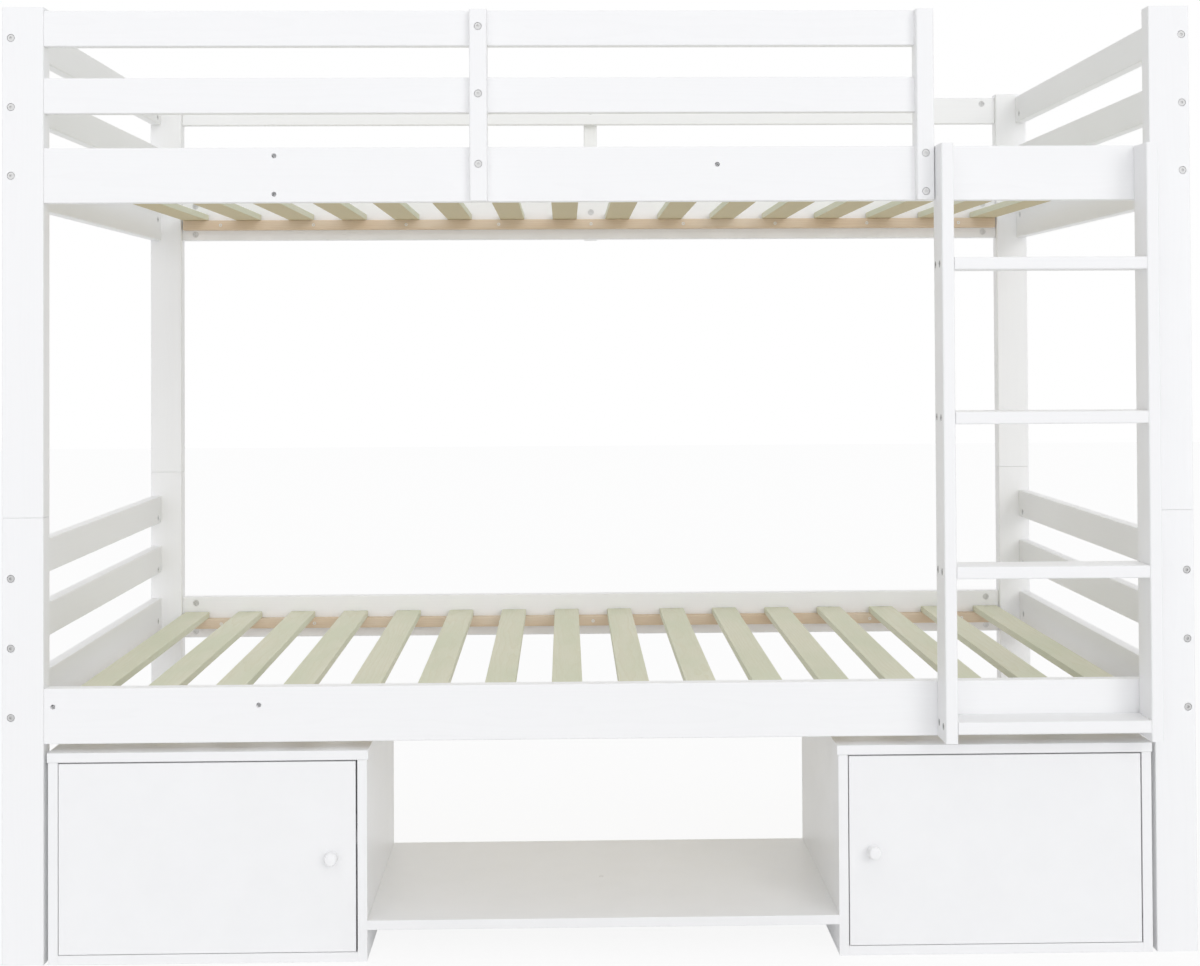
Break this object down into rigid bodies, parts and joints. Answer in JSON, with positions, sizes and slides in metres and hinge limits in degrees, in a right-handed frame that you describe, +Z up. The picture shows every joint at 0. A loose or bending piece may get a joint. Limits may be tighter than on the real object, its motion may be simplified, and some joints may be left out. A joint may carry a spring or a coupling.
{
  "type": "bunk bed",
  "caption": "Bunk bed with slatted berths on split posts, guard boards, a front ladder, and a storage base of door cabinets joined by a low shelf.",
  "frame": {"origin": "on the floor, under the middle of the box round the whole bed", "axes": "+X along the bed with the ladder at its positive end, +Y from the ladder side to the rear, +Z up"},
  "size_m": [2.019, 1.169, 1.611],
  "materials": {
    "white_paint": "satin white paint on pine",
    "white_panel": "smooth white coating on board",
    "bare_pine": "planed, uncoated",
    "bright_steel": "nickel plated",
    "grey_plastic": "moulded"
  },
  "bodies": {
    "bed": {"front_guard_high": "white_paint", "front_guard_low": "white_paint", "front_guard_upright_entry": "white_paint", "front_guard_upright_mid": "white_paint", "ladder_stile_left": "white_paint", "ladder_stile_right": "white_paint", "ladder_tread_1": "white_paint", "ladder_tread_2": "white_paint", "ladder_tread_3": "white_paint", "ladder_tread_4": "white_paint", "left_cabinet_back": "white_panel", "left_cabinet_bottom": "white_panel", "left_cabinet_inner_side": "white_panel", "left_cabinet_outer_side": "white_panel", "left_cabinet_top": "white_panel", "left_door_catch": "grey_plastic", "left_hinge_arm_lower": "bright_steel", "left_hinge_arm_upper": "bright_steel", "lower_end_guard_high_left": "white_paint", "lower_end_guard_high_right": "white_paint", "lower_end_guard_low_left": "white_paint", "lower_end_guard_low_right": "white_paint", "lower_end_rail_left": "white_paint", "lower_end_rail_right": "white_paint", "lower_front_rail": "white_paint", "lower_post_front_left": "white_paint", "lower_post_front_right": "white_paint", "lower_post_rear_left": "white_paint", "lower_post_rear_right": "white_paint", "lower_rear_rail": "white_paint", "lower_slat_deck": "bare_pine", "rear_guard": "white_paint", "rear_guard_upright": "white_paint", "right_cabinet_back": "white_panel", "right_cabinet_bottom": "white_panel", "right_cabinet_inner_side": "white_panel", "right_cabinet_outer_side": "white_panel", "right_cabinet_top": "white_panel", "right_door_catch": "grey_plastic", "right_hinge_arm_lower": "bright_steel", "right_hinge_arm_upper": "bright_steel", "shelf": "white_panel", "shelf_foot": "white_panel", "upper_end_guard_high_left": "white_paint", "upper_end_guard_high_right": "white_paint", "upper_end_guard_low_left": "white_paint", "upper_end_guard_low_right": "white_paint", "upper_end_rail_left": "white_paint", "upper_end_rail_right": "white_paint", "upper_front_rail": "white_paint", "upper_post_front_left": "white_paint", "upper_post_front_right": "white_paint", "upper_post_rear_left": "white_paint", "upper_post_rear_right": "white_paint", "upper_rear_rail": "white_paint", "upper_slat_deck": "bare_pine"},
    "left_door_leaf": {"left_door": "white_panel", "left_knob": "white_paint"},
    "right_door_leaf": {"right_door": "white_panel", "right_knob": "white_paint"}
  },
  "joints": [
    {"name": "left_door_hinge", "type": "hinge", "parent": "bed", "child": "left_door_leaf", "pos_m": [-0.915, -0.522, 0.1765], "axis": [0, 0, -1], "range_deg": [0, 100]},
    {"name": "right_door_hinge", "type": "hinge", "parent": "bed", "child": "right_door_leaf", "pos_m": [0.9138, -0.522, 0.1765], "axis": [0, 0, 1], "range_deg": [0, 100]}
  ]
}
